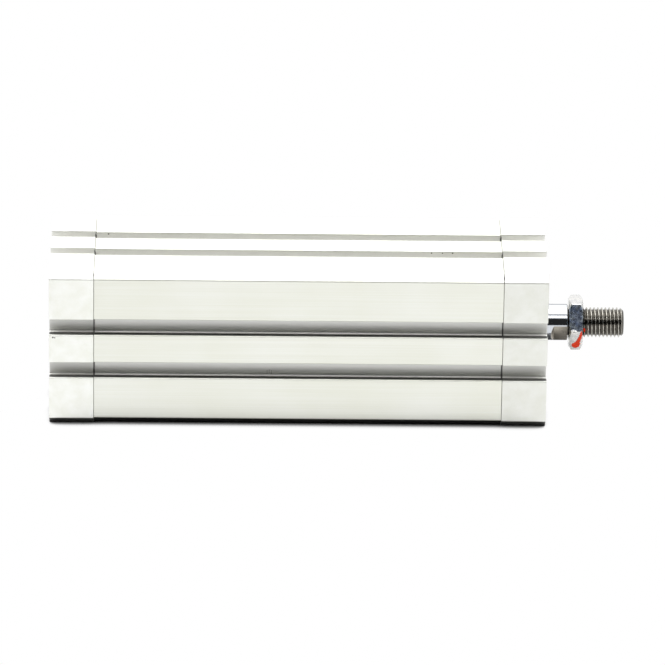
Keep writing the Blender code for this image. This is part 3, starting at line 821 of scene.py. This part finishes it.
# %% Build the rod seal
def seal_mesh(name):
    on_rod = rod_radius + 0.04 * MM
    mouth, outer = 8.7 * MM, 9.7 * MM
    wiping_lip = [(0.35, on_rod), (0.25, on_rod + 0.25 * MM), (0.9, on_rod + 0.9 * MM)]
    face = [(0.75, mouth - 0.7 * MM), (0.45, mouth - 0.2 * MM), (0.5, mouth), (1.2, mouth)]
    ring = [(1.2, outer - 0.1 * MM), (1.3, outer), (4.8, outer), (4.9, outer - 0.3 * MM)]
    ring.append((4.8, outer - 0.9 * MM))
    sealing_lip = [(3.4, on_rod + 1.4 * MM), (4.7, on_rod + 0.5 * MM), (4.8, on_rod), (4.4, on_rod)]
    under = [(2.8, on_rod + 0.6 * MM), (1.6, on_rod + 0.6 * MM)]
    section = wiping_lip + face + ring + sealing_lip + under
    return turned(name, [(body_length - depth * MM, radius) for depth, radius in section], 128)


wiper_urethane = grained("wiper_polyurethane", "#2F7258", "#27604A", 0.0, (0.28, 0.4), 0.8 * MM, 0.004 * MM)
wiper = add_object("rod_wiper", seal_mesh("rod_wiper"))
dress(wiper, wiper_urethane, "housing", ["rod_seal"])

# %% [markdown]
# ## The piston rod
# The rod is a ground bar with a spigot for the piston at one end. At the other it has two wrench flats, a
# narrow neck and the thread. The bar is turned in one piece, and the flats are cut with two blocks whose ends
# lean at 45 degrees, as a milling cutter leaves them. One flat faces forward and a little down.

# %% Build the rod
thread_length = 18.5 * MM
thread_radius = rod_radius - 1.0 * MM
rod_tip = rod_high.x
shoulder = rod_tip - thread_length
spigot_radius = 4.0 * MM
piston_length = 14.4 * MM
piston_rear = rod_low.x - fit
neck_radius = thread_radius - 0.7 * MM
neck_width = 1.5 * MM
flat_depth = 1.0 * MM
flat_length = 4.5 * MM
nut_turn = radians(-1.7)
flat_turns = [radians(115.3), radians(295.3)]


def arc_edge(corner_x, corner_r, ease, steps=4):
    """Points of a rounded shoulder on a turned profile, from the cylinder to the face."""
    points = []
    for k in range(steps + 1):
        angle = pi / 2 * k / steps
        points.append((corner_x - ease * (1 - sin(angle)), corner_r - ease * (1 - cos(angle))))
    return points


rod_ease = 0.3 * MM
seat = piston_rear + piston_length + fit
profile = [(rod_low.x, 0), (rod_low.x, spigot_radius - rod_ease), (rod_low.x + rod_ease, spigot_radius)]
profile += [(seat, spigot_radius), (seat, rod_radius)]
profile += arc_edge(shoulder, rod_radius, rod_ease)
profile += [(shoulder, neck_radius), (shoulder + neck_width, neck_radius), (shoulder + neck_width, 0)]
rod = add_object("rod_shaft", turned("rod_shaft", profile, 128))
flat_tools = []
for turn in flat_turns:
    low, far = rod_radius - flat_depth, rod_radius + past
    start = shoulder - flat_length
    outline = [(start, low), (start - (far - low), far), (shoulder + past, far), (shoulder + past, low)]
    bm = bmesh.new()
    ends = [[bm.verts.new((x, side * far, r)) for x, r in outline] for side in (-1, 1)]
    bm.faces.new(ends[0])
    bm.faces.new(ends[1])
    for i in range(4):
        bm.faces.new((ends[0][i - 1], ends[0][i], ends[1][i], ends[1][i - 1]))
    bm.transform(Matrix.Rotation(turn, 4, "X"))
    flat_tools.append((finished(bm, "flat"), "DIFFERENCE"))
combined(rod, flat_tools)
chrome = hard_chrome(rod_radius, shoulder)
dress(rod, chrome, "rod", ["piston_rod"])

# %% [markdown]
# ## The rod thread
# A real thread is one groove that winds along the rod. Its surface is a grid of rings and places along X,
# and the radius of each point depends on how far it is through a turn of the groove.
# This gives the true lead and the true 60 degree flanks in one formula, and both ends close to a disc.

# %% Build the thread
pitch = 1.25 * MM
thread_depth = 0.6134 * pitch
tip_chamfer = 1.1 * MM
rings_per_pitch = 12
thread_sides = 96


def thread_form(phase):
    """How deep the groove is at a share of one pitch: a flat crest, a flank, a flat root and a flank."""
    from_crest = abs((phase + 0.5) % 1.0 - 0.5)
    crest, root = 1 / 16, 1 / 2 - 1 / 8
    return thread_depth * min(max((from_crest - crest) / (root - crest), 0), 1)


def thread_mesh(name):
    start = shoulder + neck_width
    count = ceil((rod_tip - start) / pitch * rings_per_pitch)
    bm = bmesh.new()
    rings = []
    for k in range(count + 1):
        x = start + (rod_tip - start) * k / count
        ring = []
        for i in range(thread_sides):
            turn = i / thread_sides
            radius = thread_radius - thread_form(x / pitch - turn)
            radius = min(radius, neck_radius + (x - start), thread_radius - tip_chamfer + (rod_tip - x))
            ring.append(bm.verts.new((x, radius * cos(2 * pi * turn), radius * sin(2 * pi * turn))))
        rings.append(ring)
    for near, far in zip(rings, rings[1:]):
        for i in range(thread_sides):
            bm.faces.new((near[i - 1], near[i], far[i], far[i - 1]))
    bm.faces.new(rings[0])
    bm.faces.new(rings[-1])
    return finished(bm, name, 50)


thread = add_object("rod_thread", thread_mesh("rod_thread"))
thread_steel, thread_tree, thread_shader, thread_place = cut_steel(
    thread_radius, thread_radius - thread_depth, nut_high.x, rod_tip
)
dress(thread, thread_steel, "rod")
print("The thread has", round((rod_tip - shoulder) / pitch, 1), "turns")

# %% [markdown]
# ## The jam nut
# A nut is a hexagon bar, turned at 30 degrees on both faces until only the corners are cut back. That is done
# here as it is in the shop: a hexagonal prism is intersected with a turned blank. The curved line where
# a flat meets the cone comes by itself.

# %% Build the nut
nut_flats = 16.0 * MM
nut_length = nut_high.x - nut_low.x
nut_hole = thread_radius + 0.05 * MM


def nut_mesh(name):
    sections = [(x, hexagon(nut_flats, nut_turn, 0.25 * MM)) for x in (0, nut_length)]
    nut = add_object(name, extruded(name, sections))
    face = nut_flats / 2 - 0.24 * MM
    far = nut_flats / 2 / cos(pi / 6) + 0.5 * MM
    rise = (far - face) * tan(radians(30))
    bell = 0.5 * MM
    profile = [(bell, nut_hole), (0, nut_hole + bell), (0, face), (rise, far), (nut_length - rise, far)]
    profile += [(nut_length, face), (nut_length, nut_hole + bell), (nut_length - bell, nut_hole)]
    combined(nut, [(turned("blank", profile, 160), "INTERSECT")])
    return nut


nut = nut_mesh("jam_nut")
nut.data.transform(Matrix.Translation((nut_low.x, 0, 0)))
dress(nut, nut_zinc, "rod", ["rod_nut"])

# %% [markdown]
# ## The paint mark and the painted highlight
# A fitter dabs paint across a nut and its thread once the nut is set, so that a broken line shows later if it
# has turned. The dab is a fat spot on the nut's lower front flat with a tail that runs up over the edge.
# The corner above it gets a white painted highlight, with a dark dent in it.
# All of them are chains of balls in space, so one brush lays them over the nut and over the first thread.

# %% Say where the marks are
def on_flats(share):
    """A point on the nut's outline: 0 is the corner in front, 1 the one below it and -1 the one above it."""
    reach = nut_flats / 2 / cos(pi / 6)
    at, other = nut_turn + pi, nut_turn + pi + (pi / 3 if share > 0 else -pi / 3)
    here, there = (Vector((reach * cos(a), reach * sin(a))) for a in (at, other))
    return here.lerp(there, abs(share))


paint_spots = []
for from_face, share, radius in (
    (2.3, 0.74, 1.4), (2.7, 0.66, 1.2), (3.1, 0.52, 0.85), (3.35, 0.42, 0.75), (3.6, 0.32, 0.7),
    (3.85, 0.22, 0.7), (4.1, 0.12, 0.7), (4.35, 0.03, 0.65), (4.6, -0.05, 0.6),
):
    y, z = on_flats(share)
    paint_spots.append((nut_low.x / MM + from_face, y / MM, z / MM, radius))
paint_spots.append((nut_high.x / MM + 0.1, -4.8, -1.0, 1.0))
highlight_spots = [(171.2, -9.1, 0.3, 0.5), (171.9, -9.0, 0.5, 0.45), (172.6, -9.1, 0.3, 0.4)]
dent_spots = [(172.0, -9.1, 0.05, 0.24)]


# %% Brush the marks over the nut and the first thread
def brush(tree, shader, place, spots, light, dark):
    """Paint is matt and not metal, and stands a little proud of what it covers."""
    covered, noise = touched(tree, place, spots, 0.6 * MM, 0.6 * MM)
    before = {"Metallic": 1.0}
    for name in ("Base Color", "Metallic", "Roughness", "Normal"):
        if shader.inputs[name].links:
            before[name] = shader.inputs[name].links[0].from_socket
    paint = layered(tree, light, [(noise, dark)])
    bump = add_node(tree, "Bump", {"Height": covered, "Strength": 0.6, "Distance": 0.08 * MM})
    if "Normal" in before:
        feed(tree, bump, {"Normal": before["Normal"]})
    for name, painted in (("Metallic", 0.0), ("Roughness", 0.4)):
        limits = {"Value": covered, "To Min": before[name], "To Max": painted}
        feed(tree, shader, {name: add_node(tree, "MapRange", limits)})
    over = layered(tree, before["Base Color"], [(covered, paint)])
    feed(tree, shader, {"Base Color": over, "Normal": bump, "Specular IOR Level": 0.2})


orange = ("#F43E00", "#D02E00")
# Painted highlight: a white matt spot on the nut's front corner.
brush(nut_tree, nut_shader, nut_place, highlight_spots, "#FFFFFF", "#F2F0EA")
brush(nut_tree, nut_shader, nut_place, dent_spots, "#2C2C33", "#1C1C20")
brush(nut_tree, nut_shader, nut_place, paint_spots, *orange)
brush(thread_tree, thread_shader, thread_place, paint_spots, *orange)
print("The paint mark has", len(paint_spots), "spots")

# %% [markdown]
# ## The camera
# The view is a long lens from the front, a little above the table. A long lens keeps the barrel's edges almost
# parallel. The target, distance and small turns are the ones at which the edges fall where they do in the view.

# %% Place the camera
camera_yaw = radians(-0.953)
camera_pitch = radians(22.2)
camera_roll = radians(0.833)
camera_distance = 2.2643
camera_target = Vector((0.0928, 0, -0.00443))
camera_lens = 371.5
right = Vector((cos(camera_yaw), sin(camera_yaw), 0))
ahead = cos(camera_pitch)
forward = Vector((-sin(camera_yaw) * ahead, cos(camera_yaw) * ahead, -sin(camera_pitch)))
up = right.cross(forward)
rolled_right = right * cos(camera_roll) + up * sin(camera_roll)
rolled_up = up * cos(camera_roll) - right * sin(camera_roll)
camera_data = bpy.data.cameras.new("camera")
camera_data.lens = camera_lens
camera_data.sensor_width = 36
camera = add_object("camera", camera_data)
turn = Matrix((rolled_right, rolled_up, -forward)).transposed().to_4x4()
camera.matrix_world = Matrix.Translation(camera_target - forward * camera_distance) @ turn
camera_data.clip_start = 0.01
camera_data.clip_end = 100
bpy.context.scene.camera = camera
bpy.context.scene.view_settings.view_transform = "Standard"

# %% [markdown]
# ## The floor
# The cylinder lies on a white table, lit until it is pure white, and only the shadow at its foot is left.
# For light that falls on the object the table is plain white paint. The view sees it as white of strength 1,
# darkened where the object stands close, which the Ambient Occlusion node measures. Reflections in metal see a
# wider shadow, and a table that is brighter in front of the cylinder, where the front lamp falls on it.

# %% Lay the floor
floor_mesh = bpy.data.meshes.new("floor")
floor_half = 6.0
corners = [(x, y, cad_low.z) for x, y in ((-1, -1), (1, -1), (1, 1), (-1, 1))]
floor_mesh.from_pydata([(x * floor_half, y * floor_half, z) for x, y, z in corners], [], [(0, 1, 2, 3)])
floor = add_object("floor", floor_mesh)
floor_material = bpy.data.materials.new("white_table")
floor_material.use_nodes = True
tree = floor_material.node_tree
tree.nodes.clear()


def closeness(reach, darkest, clear):
    """1 away from the object and 0 at its foot. Darkest and clear are shares of open sky."""
    open_sky = add_node(tree, "AmbientOcclusion", {"Distance": reach}, samples=16).outputs["AO"]
    return within(tree, [(open_sky, darkest, clear)], "SMOOTHSTEP")


path = add_node(tree, "LightPath").outputs
painted = add_node(tree, "BsdfDiffuse", {"Color": "#E6E6E5"})
seen = add_node(tree, "Emission", {"Strength": closeness(6 * MM, 0.11, 0.675)})
table = add_node(tree, "TexCoord").outputs["Object"]
table = add_node(tree, "SeparateXYZ", {"Vector": table}).outputs
sunlit = within(tree, [
    (table["Y"], 20 * MM, -20 * MM),
    (table["X"], -140 * MM, -60 * MM),
    (table["X"], body_length + 140 * MM, body_length + 60 * MM),
])
front_brightness = 1.29
sunlit = add_node(tree, "MapRange", {"Value": sunlit, "To Min": 1.0, "To Max": front_brightness})
glow = add_node(tree, "Math", {0: sunlit, 1: closeness(30 * MM, 0.42, 0.8)}, operation="MULTIPLY")
mirrored = add_node(tree, "Emission", {"Strength": glow})
shiny = add_node(tree, "Math", {0: path["Is Glossy Ray"], 1: path["Is Transmission Ray"]}, operation="MAXIMUM")
for_light = add_node(tree, "MixShader", {0: shiny, 1: painted, 2: mirrored})
for_view = add_node(tree, "MixShader", {0: path["Is Camera Ray"], 1: for_light, 2: seen})
add_node(tree, "OutputMaterial", {"Surface": for_view})
floor_mesh.materials.append(floor_material)
floor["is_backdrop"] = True

# %% [markdown]
# ## The light
# Polished metal shows its surroundings, so the surroundings are drawn: a pale tent, a white screen that hangs
# high behind, and a dark room low in front, where the photographer stands. The world's strength follows the
# direction of each ray. The view itself sees plain white behind the object.
# Two strip lights, one overhead and one in front, give the rod its bright lines.

# %% Draw the surroundings
world = bpy.data.worlds.new("tent")
bpy.context.scene.world = world
world.use_nodes = True
tree = world.node_tree
tree.nodes.clear()
direction = add_node(tree, "TexCoord").outputs["Generated"]
ray = add_node(tree, "SeparateXYZ", {"Vector": direction}).outputs
tent, screen, room = 0.88, 1.95, 0.03
behind = within(tree, [
    (ray["Y"], 0.1, 0.4),
    (ray["Z"], sin(radians(14)), sin(radians(30))),
], "SMOOTHSTEP")
dark = within(tree, [
    (ray["Z"], sin(radians(0.3)), sin(radians(1.5))),
    (ray["Z"], sin(radians(45)), sin(radians(42))),
    (ray["Y"], -0.25, -0.5),
], "SMOOTHSTEP")
viewed = add_node(tree, "LightPath").outputs["Is Camera Ray"]
level = layered(tree, tent, [(behind, screen), (dark, room), (viewed, 1.0)], "FLOAT")
background = add_node(tree, "Background", {"Color": "#FFFFFF", "Strength": level})
add_node(tree, "OutputWorld", {"Surface": background})

# %% Hang the strip lights
def strip_light(name, elevation, distance, width, height, radiance):
    """A strip across the rod. Elevation is seen from the rod: 0 is in front and 90 overhead."""
    data = bpy.data.lights.new(name, "AREA")
    data.shape = "RECTANGLE"
    data.size = width
    data.size_y = height
    data.energy = radiance * width * height * pi
    lamp = add_object(name, data)
    away = Vector((0, -cos(elevation), sin(elevation)))
    lamp.location = Vector((body_length / 2, 0, 0)) + away * distance
    lamp.rotation_mode = "QUATERNION"
    lamp.rotation_quaternion = away.to_track_quat("Z", "Y")


strip_light("overhead_strip", radians(93), 1.2, 1.6, 0.75, 2.2)
strip_light("front_strip", radians(54), 1.2, 1.0, 0.22, 4.0)

# %% Write the sizes and finish
low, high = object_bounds()
print("visual box in mm:", [round((b - a) / MM, 2) for a, b in zip(low, high)])
